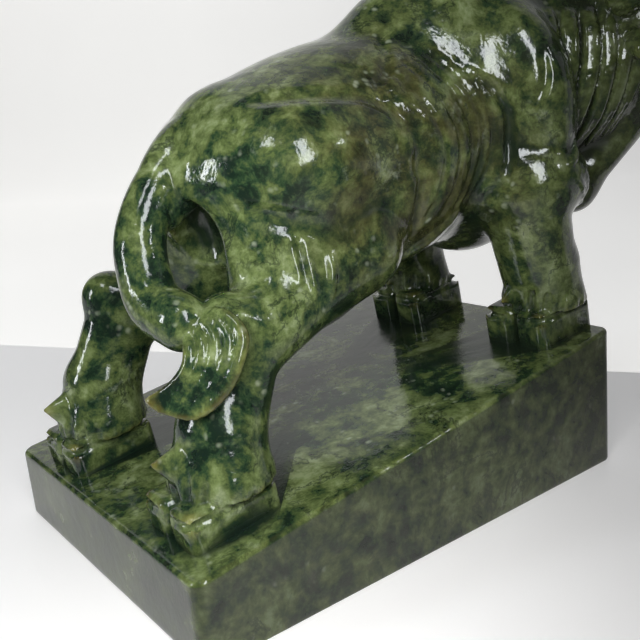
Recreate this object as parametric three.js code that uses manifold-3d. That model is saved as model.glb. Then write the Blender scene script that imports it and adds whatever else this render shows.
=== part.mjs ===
// A jade bull in a charging pose, its head lowered and turned to its right, carved in one block
// with the sloping plinth that it stands on. Millimetres, +Z up. The origin is the middle of the
// plinth's underside, +X runs towards the head and +Y to the bull's left.
import * as THREE from "three";
import { mergeVertices } from "three/addons/utils/BufferGeometryUtils.js";
import Module from "manifold-3d";

// Plinth: a wedge, low behind and high in front.
const PLINTH_LENGTH = 134;
const PLINTH_WIDTH = 100;
const PLINTH_REAR_HEIGHT = 19;
const PLINTH_FRONT_HEIGHT = 39;
const PLINTH_EDGE_CHAMFER = 0.8;
const PLINTH_CORNER_RADIUS = 3;

// Bull: its height at the withers, square to the plinth's top. Every point and radius of the
// bull is a share of this height, in hundredths.
const BULL_HEIGHT = 100;
const SHARE = BULL_HEIGHT / 100;

// How far the feet run down into the plinth, so that the stone is one solid.
const FOOT_ROOT = 3;

// How many strands the tuft has and how many locks hang on each side of the neck.
const TUFT_STRANDS = 6;
const MANE_LOCKS = 7;

// The step of the grid that the form is read on, and the most facets that it keeps.
const GRID_STEP = 1.3;
const MOST_FACETS = 9000;

const JADE_COLOUR = 0x4f6a2c;
const JADE_ROUGHNESS = 0.16;

// The bull's own frame stands on the plinth's top: along the slope to the front, across to the
// bull's left, and up square to the slope.

// The line down the middle of the bull, which runs a little to its right towards the front.
const MIDLINE_AT_FORELEGS = -11;
const FORELEGS_ALONG = 58;
const MIDLINE_SLOPE = 0.0743;

// How far out from the midline the search for the skin starts, and how far to each side of a
// place the stone is read for the slope of its skin.
const SKIN_SEARCH = 55;
const SLOPE_REACH = 1.5;

const RIGHT = -1;
const LEFT = 1;

function at(along, across, up) {
  return new THREE.Vector3(along, across, up).multiplyScalar(SHARE);
}

// A point at an offset from the midline, to one side of the bull.
function beside(side, along, offset, up) {
  const middle = MIDLINE_AT_FORELEGS + (FORELEGS_ALONG - along) * MIDLINE_SLOPE;
  return at(along, middle + side * offset, up);
}

// Forms. Each is a box that it lies in and a distance to its surface, negative inside.

// A limb: a bar with round ends from a to b, with its own radius at each end; flat squeezes it
// across the bull.
function limb(a, b, radiusA, radiusB, flat = 1) {
  const ra = radiusA * SHARE;
  const rb = radiusB * SHARE;
  const reach = Math.max(ra, rb);
  const dx = b.x - a.x;
  const dy = (b.y - a.y) / flat;
  const dz = b.z - a.z;
  const square = dx * dx + dy * dy + dz * dz;
  return {
    low: a.clone().min(b).subScalar(reach),
    high: a.clone().max(b).addScalar(reach),
    distance(x, y, z) {
      const px = x - a.x;
      const py = (y - a.y) / flat;
      const pz = z - a.z;
      const t = Math.min(Math.max((px * dx + py * dy + pz * dz) / square, 0), 1);
      return Math.hypot(px - dx * t, py - dy * t, pz - dz * t) - ra - (rb - ra) * t;
    },
  };
}

// A muscle: an ellipsoid whose three half-axes are along, across and up, turned by yaw about
// the upright axis and then pitched nose up, in degrees.
function muscle(centre, [along, across, up], yaw = 0, pitch = 0) {
  const turn = new THREE.Matrix4().makeRotationZ(THREE.MathUtils.degToRad(yaw));
  turn.multiply(new THREE.Matrix4().makeRotationY(-THREE.MathUtils.degToRad(pitch)));
  const e = turn.elements;
  const ra = along * SHARE;
  const rb = across * SHARE;
  const rc = up * SHARE;
  const reach = Math.max(ra, rb, rc);
  return {
    low: centre.clone().subScalar(reach),
    high: centre.clone().addScalar(reach),
    distance(x, y, z) {
      const px = x - centre.x;
      const py = y - centre.y;
      const pz = z - centre.z;
      const a = (px * e[0] + py * e[1] + pz * e[2]) / ra;
      const b = (px * e[4] + py * e[5] + pz * e[6]) / rb;
      const c = (px * e[8] + py * e[9] + pz * e[10]) / rc;
      const near = Math.hypot(a, b, c);
      const slope = Math.hypot(a / ra, b / rb, c / rc);
      return slope > 0 ? (near * (near - 1)) / slope : -Math.min(ra, rb, rc);
    },
  };
}

// A block with rounded edges, for one claw of a hoof.
function roundedBlock(centre, [along, across, up], radius) {
  const r = radius * SHARE;
  const half = new THREE.Vector3(along, across, up).multiplyScalar(SHARE);
  return {
    low: centre.clone().sub(half),
    high: centre.clone().add(half),
    distance(x, y, z) {
      const qx = Math.abs(x - centre.x) - half.x + r;
      const qy = Math.abs(y - centre.y) - half.y + r;
      const qz = Math.abs(z - centre.z) - half.z + r;
      const outside = Math.hypot(Math.max(qx, 0), Math.max(qy, 0), Math.max(qz, 0));
      return outside + Math.min(Math.max(qx, qy, qz), 0) - r;
    },
  };
}

// A form cut off flat at a height, as the lower rim of a fetlock is.
function above(height, form) {
  return {
    low: form.low,
    high: form.high,
    distance: (x, y, z) => smoothMax(form.distance(x, y, z), height * SHARE - z, 0.6),
  };
}

function smoothMin(a, b, blend) {
  const h = Math.max(blend - Math.abs(a - b), 0);
  return Math.min(a, b) - (blend > 0 ? (h * h) / (4 * blend) : 0);
}

function smoothMax(a, b, blend) {
  return -smoothMin(-a, -b, blend);
}

// The stone: distances on a grid of points, which forms are added to and cut from.
class Stone {
  constructor(low, high, step) {
    this.low = low;
    this.step = step;
    this.count = high.clone().sub(low).divideScalar(step).ceil().addScalar(1);
    this.values = new Float32Array(this.count.x * this.count.y * this.count.z).fill(1e3);
  }

  index(i, j, k) {
    return (k * this.count.y + j) * this.count.x + i;
  }

  each(form, margin, change) {
    const first = form.low.clone().subScalar(margin).sub(this.low).divideScalar(this.step).floor();
    const last = form.high.clone().addScalar(margin).sub(this.low).divideScalar(this.step).ceil();
    first.max(new THREE.Vector3());
    last.min(this.count.clone().subScalar(1));
    for (let k = first.z; k <= last.z; k++) {
      const z = this.low.z + k * this.step;
      for (let j = first.y; j <= last.y; j++) {
        const y = this.low.y + j * this.step;
        for (let i = first.x; i <= last.x; i++) {
          const place = this.index(i, j, k);
          const distance = form.distance(this.low.x + i * this.step, y, z);
          this.values[place] = change(this.values[place], distance);
        }
      }
    }
  }

  add(form, blend) {
    const width = blend * SHARE;
    this.each(form, width + 3 * this.step, (value, distance) => smoothMin(value, distance, width));
  }

  cut(form, blend) {
    const width = blend * SHARE;
    this.each(form, width + this.step, (value, distance) => smoothMax(value, -distance, width));
  }

  // The distance anywhere, from the eight grid points about the place.
  read(place) {
    const cells = place.clone().sub(this.low).divideScalar(this.step);
    const first = cells.clone().floor();
    const part = cells.sub(first);
    let sum = 0;
    for (let corner = 0; corner < 8; corner++) {
      const [i, j, k] = [corner & 1, (corner >> 1) & 1, (corner >> 2) & 1];
      const share = (i ? part.x : 1 - part.x) * (j ? part.y : 1 - part.y) * (k ? part.z : 1 - part.z);
      sum += share * this.values[this.index(first.x + i, first.y + j, first.z + k)];
    }
    return sum;
  }

  // The place on the skin that is met when coming in from one side of the bull.
  skin(side, along, up) {
    const place = beside(side, along, SKIN_SEARCH, up);
    const pace = side * this.step * 0.25;
    while (this.read(place) > 0 && place.y * side > MIDLINE_AT_FORELEGS * SHARE) place.y -= pace;
    return place;
  }

  // The way out of the stone at a place: the slope of the distance there, made a unit long.
  outOf(place) {
    const slope = new THREE.Vector3();
    for (const axis of [0, 1, 2]) {
      const reach = new THREE.Vector3().setComponent(axis, SLOPE_REACH * SHARE);
      slope.setComponent(axis, this.read(place.clone().add(reach)) - this.read(place.clone().sub(reach)));
    }
    return slope.normalize();
  }
}

// Adds a run of limbs through the points, its radius going from one given value to the next.
function addRun(stone, points, radii, blend, flat = 1) {
  for (let i = 0; i + 1 < points.length; i++) {
    stone.add(limb(points[i], points[i + 1], radii[i], radii[i + 1], flat), i ? 0.3 : blend);
  }
}

function cutRun(stone, points, radius, blend) {
  for (let i = 0; i + 1 < points.length; i++) {
    stone.cut(limb(points[i], points[i + 1], radius, radius), blend);
  }
}

// A furrow in the skin of one side, through places that are given along and up. The round bar
// that cuts it stays mostly outside the skin, and further out towards both ends.
function furrow(stone, side, places, radius, depth) {
  const pieces = 3 * (places.length - 1);
  const flat = curved(places.map(([along, up]) => new THREE.Vector3(along, 0, up)), pieces);
  const skin = flat.map((place) => stone.skin(side, place.x, place.z));
  const line = skin.map((place, n) => {
    const fade = Math.sin(Math.PI * (0.06 + (0.88 * n) / pieces)) ** 0.6;
    return place.clone().addScaledVector(stone.outOf(place), (radius - depth * fade) * SHARE);
  });
  cutRun(stone, line, radius, 0.8);
}

// Points on a smooth curve through the given ones.
function curved(points, pieces) {
  return new THREE.CatmullRomCurve3(points).getPoints(pieces);
}

function spread(from, to, pieces) {
  return Array.from({ length: pieces + 1 }, (_, i) => from + ((to - from) * i) / pieces);
}

function addTrunk(stone) {
  stone.add(muscle(at(4, -7, 62.5), [36, 27, 25]), 0);
  stone.add(muscle(at(25, -8, 59.5), [38, 31, 30.5]), 8);
  stone.add(muscle(at(59, -11, 60), [28, 23.5, 37]), 8);
  stone.add(muscle(at(50, -10.5, 84), [24, 14, 16]), 8);
}

// Folds of the skin on one side: the front edge of the thigh, the skin behind the shoulder, the
// crease under the haunch, and the rim that the flank ends in below.
function addFolds(stone, side) {
  furrow(stone, side, [[20, 60], [18.5, 50], [17.5, 42]], 2.4, 1);
  furrow(stone, side, [[43.5, 76], [48.5, 69], [50.2, 60.7], [48, 51.5], [42, 43]], 1.9, 1.2);
  furrow(stone, side, [[-26, 61], [-14, 54.5], [-3, 49.8], [5, 49]], 3, 0.6);
  const rim = [[15, 34.5], [24, 38], [34, 42.5]].map(([along, up]) => stone.skin(side, along, up));
  addRun(stone, curved(rim, 4), [0.8, 1.4, 1.6, 1.4, 0.8], 1.5);
}

// A hind leg, stretched back from a round haunch to the hock, with its foot a step further on.
function addHindLeg(stone, side, step) {
  const p = (along, offset, up) => beside(side, along, offset, up);
  stone.add(muscle(p(-8, 16, 48), [21, 13.5, 22]), 5);
  stone.add(muscle(p(6, 20.5, 42), [9, 9.5, 10]), 6);
  stone.add(limb(p(0, 20, 43), p(-28 + step, 25, 35), 10.5, 9.5), 5);
  stone.add(muscle(p(-37 + step, 27, 40), [6.5, 6, 6.3]), 2.5);
  stone.add(limb(p(-34 + step, 26.5, 35), p(-44 + step, 28, 18), 9.4, 9.6, 0.85), 3);
  stone.add(muscle(p(-3.5, 13, 65.5), [23, 20.5, 15.5]), 4);
  addFoot(stone, p, {
    bell: [-47.3 + step, 28.3, 11.8],
    hoof: [-51.3 + step / 2, 28.6, 11.4],
    rim: 7,
    dewclaw: [-61 + step, 27.5, 17],
  });
}

// A foreleg under its shoulder blade, with its foot a step in front and set apart.
function addForeLeg(stone, side, step, apart) {
  const p = (along, offset, up) => beside(side, along, offset, up);
  stone.add(muscle(p(60.5, 22, 43), [17, 15.5, 13.5]), 8);
  stone.add(muscle(p(63, 16.5, 61.5), [13.5, 19.5, 27.5]), 1.6);
  const foot = (along, offset, up) => p(along + step, offset + apart, up);
  stone.add(limb(p(57.5, 23.5, 38), foot(58.5, 24, 20), 11.6, 10.4), 1.5);
  addFoot(stone, foot, { bell: [60, 23.5, 11], hoof: [58, 22, 10.8], rim: 8.5, dewclaw: [47, 21, 13] });
}

// A foot: a bell-shaped fetlock whose rim stands over two claws, and one pointed dewclaw behind.
// The bell and the hoof are given by their place along, their offset and their half-length.
function addFoot(stone, p, { bell, hoof, rim, dewclaw }) {
  const [bellAlong, bellOffset, radius] = bell;
  const waist = p(bellAlong + 2, bellOffset, rim + 11);
  const skirt = limb(waist, p(bellAlong, bellOffset, rim + 2), radius - 2.6, radius, 1.1);
  stone.add(above(rim, skirt), 3);
  const heel = p(bellAlong - radius * 0.55, bellOffset, rim + 7);
  stone.add(limb(heel, p(...dewclaw), 6.6, 0.6, 0.75), 0.8);
  const [hoofAlong, hoofOffset, length] = hoof;
  stone.add(muscle(p(hoofAlong, hoofOffset, rim / 2), [length * 0.75, 6, rim]), 0.4);
  for (const claw of [-1, 1]) {
    const middle = p(hoofAlong, hoofOffset + claw * 5.6, (rim - FOOT_ROOT) / 2);
    stone.add(roundedBlock(middle, [length, 5, (rim + 3 + FOOT_ROOT) / 2], 3.4), 0.4);
  }
}

// The tail, from a broad root down behind a deep hollow that opens between the buttocks.
function addTail(stone) {
  stone.cut(muscle(at(-27.5, -11, 52.5), [7, 13, 12], -28), 2);
  addRun(stone, [at(-12, -6, 73.5), at(-25, -7, 69), at(-33, -8, 63)], [11, 8.2, 5.6], 3);
  const line = [at(-10, -4, 74.8), at(-23, -6, 73), at(-33.5, -8, 67), at(-41.6, -11, 58.3)];
  line.push(at(-44.5, -14.5, 50.5), at(-45.5, -18.5, 45.5), at(-44.5, -27, 42.2));
  const radii = spread(0, 1, 24).map((t) => 9 - 3.8 * Math.min(t / 0.3, 1) + t);
  addRun(stone, curved(line, 24), radii, 5);
}

// The tuft: strands that go over the hock, bend round and run back to points behind the leg.
// The strands lie side by side between an inner and an outer line.
function addTuft(stone) {
  const inner = [at(-45.5, -26, 42), at(-45.5, -30, 41), at(-47.1, -33, 38.5), at(-48.7, -34, 36)];
  inner.push(at(-51, -33, 33.5), at(-54.1, -31, 31.5), at(-57.6, -29, 30.5));
  const outer = [at(-42.7, -29, 43.5), at(-39, -35, 43.4), at(-38.2, -39.5, 39.5), at(-41.5, -41, 35)];
  outer.push(at(-46, -40.5, 30.2), at(-52, -37.5, 26.8), at(-57, -32, 28.8));
  const swell = spread(0, 1, 12).map((t) => Math.sin(Math.PI * (0.15 + 0.8 * t)));
  const proud = at(-0.7, -1.1, 0.3);
  const strand = (share, out) =>
    curved(inner.map((place, n) => place.clone().lerp(outer[n], share)), 12)
      .map((place, n) => place.addScaledVector(proud, out * swell[n]));
  for (const share of [0.3, 0.5, 0.7]) {
    addRun(stone, strand(share, -0.5), swell.map((t) => 0.5 + 2.3 * t), 1.5);
  }
  for (let i = 0; i < TUFT_STRANDS; i++) {
    addRun(stone, strand(i / (TUFT_STRANDS - 1), 1), swell.map((t) => 0.7 + 1.25 * t), 0.2);
  }
}

// The neck bends down and to the bull's right. Its path and radii carry the mane too.
const NECK = new THREE.CatmullRomCurve3([
  at(60, -11, 66),
  at(76, -18, 66),
  at(91, -28, 65),
  at(103, -37, 67),
]);
const neckRadius = (t) => 29 - 13 * t;

function addNeck(stone) {
  const points = NECK.getPoints(8);
  addRun(stone, points, spread(0, 1, 8).map(neckRadius), 8);
  stone.add(limb(at(56, -11, 86), at(100, -34, 79), 13, 10), 8);
  stone.add(limb(at(70, -14, 38), at(83, -30, 35), 10, 6.4), 8);
  stone.add(limb(at(83, -30, 35), at(100, -39, 51), 6.4, 6.6), 5);
}

// The mane: locks that hang down each side of the neck and sweep back towards the shoulder.
function addMane(stone) {
  for (const side of [RIGHT, LEFT]) {
    for (let i = 0; i < MANE_LOCKS; i++) {
      const root = 0.38 + (0.68 * i) / (MANE_LOCKS - 1);
      const line = spread(0, 1, 5).map((down) => {
        const t = Math.min(root - 0.3 * down * down, 1);
        const out = new THREE.Vector3(0, 0, 1).cross(NECK.getTangent(t)).normalize();
        const turn = THREE.MathUtils.degToRad(8 + 134 * down);
        const radius = (neckRadius(t) + 0.3) * SHARE;
        const place = NECK.getPoint(t).addScaledVector(out, side * Math.sin(turn) * radius);
        place.z += Math.cos(turn) * radius;
        return place;
      });
      const radii = spread(0, 1, 10).map((t) => 0.8 + 2.1 * Math.sin(Math.PI * (0.1 + 0.85 * t)));
      addRun(stone, curved(line, 10), radii, 0.6);
    }
  }
}

const POLL = at(103, -37, 78);
const MUZZLE = at(117.5, -52.5, 45);

function addHead(stone) {
  const forward = MUZZLE.clone().sub(POLL);
  const length = forward.length();
  forward.normalize();
  const face = new THREE.Vector3(0, 0, 1).addScaledVector(forward, -forward.z).normalize();
  const sideways = face.clone().cross(forward).normalize();
  const p = (down, out, proud) =>
    POLL.clone()
      .addScaledVector(forward, down * length)
      .addScaledVector(sideways, out * SHARE)
      .addScaledVector(face, proud * SHARE);
  stone.add(limb(p(0, -4, -2), p(0, 4, -2), 11.5, 11.5), 4);
  stone.add(limb(p(0.1, 0, -1), p(0.55, 0, -1), 12.5, 10), 4);
  stone.add(limb(p(0.5, 0, -1), p(0.92, 0, -1), 9.6, 8), 4);
  stone.add(limb(p(0.42, 0, -9), p(0.9, 0, -4), 8.6, 6.2), 3);
  stone.add(limb(p(0.95, -3.6, -0.5), p(0.95, 3.6, -0.5), 7.6, 7.6), 2);
  for (const side of [RIGHT, LEFT]) {
    stone.add(muscle(p(0.3, side * 8.5, 4.5), [4.4, 4.4, 4.4]), 2);
    stone.add(muscle(p(0.52, side * 6, -8), [8, 5, 8]), 2.5);
    const horn = [p(-0.04, side * 7, 1), p(-0.12, side * 17, 2), p(-0.1, side * 24, 9)];
    horn.push(p(-0.22, side * 26, 19));
    addRun(stone, curved(horn, 10), spread(5.4, 1, 10), 2);
    const ear = [p(0.08, side * 8, 0), p(0.13, side * 17, -2), p(0.22, side * 26, -3)];
    addRun(stone, curved(ear, 5), [3, 3.6, 4.2, 4, 2.8, 0.8], 1.2);
    stone.cut(muscle(p(1.08, side * 4.4, 5), [2.2, 2.2, 2.2]), 0.6);
  }
  cutRun(stone, [p(0.78, -9, -6.5), p(1.14, 0, -6.5), p(0.78, 9, -6.5)], 0.9, 0.6);
  for (const [down, out] of [[0.02, 0], [0.06, -4.6], [0.06, 4.6], [0.17, -2.4], [0.17, 2.4]]) {
    stone.add(muscle(p(down, out, 10), [3.4, 3.4, 3.4]), 0.8);
  }
}

// The bull's forms, joined and carved, in the bull's own frame.
function carvedBull() {
  const low = new THREE.Vector3(-72, -90, -FOOT_ROOT - 2).multiplyScalar(SHARE);
  const high = new THREE.Vector3(150, 50, 125).multiplyScalar(SHARE);
  const stone = new Stone(low, high, GRID_STEP);
  addTrunk(stone);
  addHindLeg(stone, RIGHT, 0);
  addHindLeg(stone, LEFT, -3);
  addForeLeg(stone, RIGHT, 0, 0);
  addForeLeg(stone, LEFT, -1, 4);
  addNeck(stone);
  addMane(stone);
  addHead(stone);
  addTail(stone);
  addTuft(stone);
  addFolds(stone, RIGHT);
  addFolds(stone, LEFT);
  return stone;
}

// The surface where the distance is nothing. Each cell of the grid is six tetrahedra round its
// long diagonal, and each of those is cut by one triangle or two. A corner's number has one bit
// for each axis.
function surfaceOf(stone) {
  const { count, values, step, low } = stone;
  const offset = (corner) => stone.index(corner & 1, (corner >> 1) & 1, (corner >> 2) & 1);
  const orders = [
    [1, 2, 4],
    [2, 4, 1],
    [4, 1, 2],
    [2, 1, 4],
    [1, 4, 2],
    [4, 2, 1],
  ];
  const tetrahedra = orders.map(([a, b, c], n) => {
    const corners = [0, a, a + b, a + b + c];
    return n < 3 ? corners : [corners[1], corners[0], corners[2], corners[3]];
  });
  const positions = [];
  const triangles = [];
  const made = new Map();
  const vertex = (cell, a, b) => {
    const from = Math.min(a, b);
    const key = (cell + offset(from)) * 8 + (Math.max(a, b) - from);
    if (made.has(key)) return made.get(key);
    const start = cell + offset(from);
    const end = cell + offset(Math.max(a, b));
    const exact = values[start] / (values[start] - values[end]);
    const t = Math.min(Math.max(exact, 0.04), 0.96);
    const place = (g) => [
      g % count.x,
      Math.floor(g / count.x) % count.y,
      Math.floor(g / (count.x * count.y)),
    ];
    const [p, q] = [place(start), place(end)];
    for (const axis of [0, 1, 2]) {
      positions.push(low.getComponent(axis) + (p[axis] + (q[axis] - p[axis]) * t) * step);
    }
    made.set(key, positions.length / 3 - 1);
    return positions.length / 3 - 1;
  };
  for (let k = 0; k < count.z - 1; k++) {
    for (let j = 0; j < count.y - 1; j++) {
      for (let i = 0; i < count.x - 1; i++) {
        const cell = stone.index(i, j, k);
        let inside = 0;
        for (let c = 0; c < 8; c++) inside += values[cell + offset(c)] < 0 ? 1 : 0;
        if (inside === 0 || inside === 8) continue;
        for (const tetrahedron of tetrahedra) {
          const ins = tetrahedron.filter((c) => values[cell + offset(c)] < 0);
          const outs = tetrahedron.filter((c) => values[cell + offset(c)] >= 0);
          if (!ins.length || !outs.length) continue;
          const order = [...ins, ...outs].map((c) => tetrahedron.indexOf(c));
          let swaps = 0;
          for (let m = 0; m < 4; m++) for (let n = m + 1; n < 4; n++) if (order[m] > order[n]) swaps++;
          const push = (a, b, c) => triangles.push(...(swaps % 2 ? [a, c, b] : [a, b, c]));
          const v = (m, n) => vertex(cell, m, n);
          if (ins.length === 1) {
            push(v(ins[0], outs[0]), v(ins[0], outs[1]), v(ins[0], outs[2]));
          } else if (ins.length === 3) {
            push(v(ins[0], outs[0]), v(ins[1], outs[0]), v(ins[2], outs[0]));
          } else {
            const [a, b] = [v(ins[0], outs[0]), v(ins[0], outs[1])];
            const [c, d] = [v(ins[1], outs[1]), v(ins[1], outs[0])];
            push(a, b, c);
            push(a, c, d);
          }
        }
      }
    }
  }
  return { positions, triangles };
}

// Merges edges, the one that moves the surface least first, until few enough facets are left.
// Each vertex keeps the summed squared distance to the planes of its facets as ten numbers.
function simplified({ positions, triangles }, most) {
  const points = Float64Array.from(positions);
  const corners = Int32Array.from(triangles);
  const facets = Array.from({ length: points.length / 3 }, () => new Set());
  const quadrics = new Float64Array((points.length / 3) * 10);
  const alive = new Uint8Array(corners.length / 3).fill(1);
  const version = new Int32Array(points.length / 3);
  const point = (v) => [points[3 * v], points[3 * v + 1], points[3 * v + 2]];

  const normal = (a, b, c) => {
    const u = [b[0] - a[0], b[1] - a[1], b[2] - a[2]];
    const w = [c[0] - a[0], c[1] - a[1], c[2] - a[2]];
    return [u[1] * w[2] - u[2] * w[1], u[2] * w[0] - u[0] * w[2], u[0] * w[1] - u[1] * w[0]];
  };

  for (let f = 0; f < alive.length; f++) {
    const vs = [corners[3 * f], corners[3 * f + 1], corners[3 * f + 2]];
    const [a, b, c] = vs.map(point);
    const n = normal(a, b, c);
    const area = Math.hypot(...n);
    const [x, y, z] = n.map((value) => value / (area || 1));
    const w = -(x * a[0] + y * a[1] + z * a[2]);
    const plane = [x * x, x * y, x * z, x * w, y * y, y * z, y * w, z * z, z * w, w * w];
    for (const v of vs) {
      facets[v].add(f);
      for (let m = 0; m < 10; m++) quadrics[10 * v + m] += plane[m] * area;
    }
  }

  const errorAt = (q, [x, y, z]) =>
    q[0] * x * x + 2 * q[1] * x * y + 2 * q[2] * x * z + 2 * q[3] * x +
    q[4] * y * y + 2 * q[5] * y * z + 2 * q[6] * y + q[7] * z * z + 2 * q[8] * z + q[9];

  // The place of least error for a merged edge, or its middle where that is badly defined.
  const bestPlace = (u, v) => {
    const q = Array.from({ length: 10 }, (_, m) => quadrics[10 * u + m] + quadrics[10 * v + m]);
    const [a, b] = [point(u), point(v)];
    const middle = a.map((value, m) => (value + b[m]) / 2);
    const c00 = q[4] * q[7] - q[5] * q[5];
    const c01 = q[2] * q[5] - q[1] * q[7];
    const c02 = q[1] * q[5] - q[2] * q[4];
    const whole = q[0] * c00 + q[1] * c01 + q[2] * c02;
    let best = middle;
    const scale = q[0] + q[4] + q[7];
    if (Math.abs(whole) > 1e-4 * scale ** 3) {
      const c11 = q[0] * q[7] - q[2] * q[2];
      const c12 = q[1] * q[2] - q[0] * q[5];
      const c22 = q[0] * q[4] - q[1] * q[1];
      const solved = [
        -(c00 * q[3] + c01 * q[6] + c02 * q[8]) / whole,
        -(c01 * q[3] + c11 * q[6] + c12 * q[8]) / whole,
        -(c02 * q[3] + c12 * q[6] + c22 * q[8]) / whole,
      ];
      const reach = 2 * Math.hypot(a[0] - b[0], a[1] - b[1], a[2] - b[2]);
      if (Math.hypot(solved[0] - middle[0], solved[1] - middle[1], solved[2] - middle[2]) < reach) {
        best = solved;
      }
    }
    return { place: best, cost: Math.max(errorAt(q, best), 0) };
  };

  // A heap of edges, the cheapest on top. An entry is stale once either end has moved.
  const heap = [];
  const rise = (entry) => {
    heap.push(entry);
    let n = heap.length - 1;
    while (n > 0) {
      const parent = (n - 1) >> 1;
      if (heap[parent].cost <= heap[n].cost) break;
      [heap[parent], heap[n]] = [heap[n], heap[parent]];
      n = parent;
    }
  };
  const takeTop = () => {
    const top = heap[0];
    const last = heap.pop();
    if (heap.length) {
      heap[0] = last;
      let n = 0;
      for (;;) {
        const left = 2 * n + 1;
        let least = n;
        if (left < heap.length && heap[left].cost < heap[least].cost) least = left;
        if (left + 1 < heap.length && heap[left + 1].cost < heap[least].cost) least = left + 1;
        if (least === n) break;
        [heap[least], heap[n]] = [heap[n], heap[least]];
        n = least;
      }
    }
    return top;
  };
  const addEdge = (u, v) => {
    const { place, cost } = bestPlace(u, v);
    rise({ u, v, place, cost, versionU: version[u], versionV: version[v] });
  };
  const neighbours = (v) => {
    const found = new Set();
    for (const f of facets[v]) for (let m = 0; m < 3; m++) found.add(corners[3 * f + m]);
    found.delete(v);
    return found;
  };

  for (let v = 0; v < facets.length; v++) for (const n of neighbours(v)) if (v < n) addEdge(v, n);
  let left = alive.length;
  while (left > most && heap.length) {
    const { u, v, place, versionU, versionV } = takeTop();
    if (version[u] !== versionU || version[v] !== versionV) continue;
    const [nearU, nearV] = [neighbours(u), neighbours(v)];
    let shared = 0;
    for (const n of nearU) if (nearV.has(n)) shared++;
    if (shared !== 2 || nearU.size + nearV.size < 8) continue;
    let turned = false;
    for (const [end, other] of [[u, v], [v, u]]) {
      for (const f of facets[end]) {
        const vs = [corners[3 * f], corners[3 * f + 1], corners[3 * f + 2]];
        if (vs.includes(other)) continue;
        const old = normal(...vs.map(point));
        const moved = normal(...vs.map((w) => (w === end ? place : point(w))));
        const dot = old[0] * moved[0] + old[1] * moved[1] + old[2] * moved[2];
        const size = Math.hypot(...moved);
        if (size < 1e-3 || dot < 0.25 * Math.hypot(...old) * size) turned = true;
      }
    }
    if (turned) continue;
    for (const f of [...facets[v]]) {
      const vs = [corners[3 * f], corners[3 * f + 1], corners[3 * f + 2]];
      if (vs.includes(u)) {
        alive[f] = 0;
        left--;
        for (const w of vs) facets[w].delete(f);
      } else {
        corners[3 * f + vs.indexOf(v)] = u;
        facets[u].add(f);
      }
    }
    facets[v].clear();
    points.set(place, 3 * u);
    for (let m = 0; m < 10; m++) quadrics[10 * u + m] += quadrics[10 * v + m];
    version[u]++;
    version[v] = -1;
    for (const n of neighbours(u)) addEdge(u, n);
  }

  const numbers = new Map();
  const kept = { positions: [], triangles: [] };
  for (let f = 0; f < alive.length; f++) {
    if (!alive[f]) continue;
    for (let m = 0; m < 3; m++) {
      const v = corners[3 * f + m];
      if (!numbers.has(v)) {
        numbers.set(v, numbers.size);
        kept.positions.push(...point(v));
      }
      kept.triangles.push(numbers.get(v));
    }
  }
  return kept;
}

function geometryOf({ positions, triangles }) {
  const geometry = new THREE.BufferGeometry();
  geometry.setAttribute("position", new THREE.Float32BufferAttribute(positions, 3));
  geometry.setIndex(triangles);
  return geometry;
}

// The plinth's side profile drawn out across its width, met by its plan with rounded corners.
function plinthGeometries() {
  const c = PLINTH_EDGE_CHAMFER;
  const end = PLINTH_LENGTH / 2;
  const slope = Math.atan2(PLINTH_FRONT_HEIGHT - PLINTH_REAR_HEIGHT, PLINTH_LENGTH);
  const inset = c / Math.cos(slope);
  const rise = Math.tan(slope) * c;
  const side = new THREE.Shape([
    new THREE.Vector2(-end + c, c),
    new THREE.Vector2(end - c, c),
    new THREE.Vector2(end - c, PLINTH_FRONT_HEIGHT - inset - rise),
    new THREE.Vector2(-end + c, PLINTH_REAR_HEIGHT - inset + rise),
  ]);
  const wedge = new THREE.ExtrudeGeometry(side, {
    depth: PLINTH_WIDTH - 2 * c,
    bevelEnabled: true,
    bevelSize: c,
    bevelThickness: c,
    bevelSegments: 1,
  });
  wedge.translate(0, 0, -PLINTH_WIDTH / 2 + c);
  wedge.rotateX(Math.PI / 2);

  const r = PLINTH_CORNER_RADIUS;
  const half = PLINTH_WIDTH / 2;
  const plan = new THREE.Shape();
  plan.absarc(end - r, half - r, r, 0, Math.PI / 2, false);
  plan.absarc(-end + r, half - r, r, Math.PI / 2, Math.PI, false);
  plan.absarc(-end + r, -half + r, r, Math.PI, 1.5 * Math.PI, false);
  plan.absarc(end - r, -half + r, r, 1.5 * Math.PI, 2 * Math.PI, false);
  const tall = PLINTH_FRONT_HEIGHT + 2;
  const column = new THREE.ExtrudeGeometry(plan, { depth: tall, bevelEnabled: false, curveSegments: 5 });
  column.translate(0, 0, -1);
  return [wedge, column];
}

// Stands the bull's own frame on the middle of the plinth's sloping top.
function standOnPlinth(geometry) {
  const slope = Math.atan2(PLINTH_FRONT_HEIGHT - PLINTH_REAR_HEIGHT, PLINTH_LENGTH);
  geometry.rotateY(-slope);
  geometry.translate(0, 0, (PLINTH_REAR_HEIGHT + PLINTH_FRONT_HEIGHT) / 2);
  return geometry;
}

const wasm = await Module();
wasm.setup();

function solidOf(geometry) {
  const bare = geometry.clone();
  bare.deleteAttribute("normal");
  bare.deleteAttribute("uv");
  const merged = mergeVertices(bare, 1e-4);
  return new wasm.Manifold(
    new wasm.Mesh({
      numProp: 3,
      vertProperties: merged.getAttribute("position").array,
      triVerts: new Uint32Array(merged.index.array),
    }),
  );
}

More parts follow.
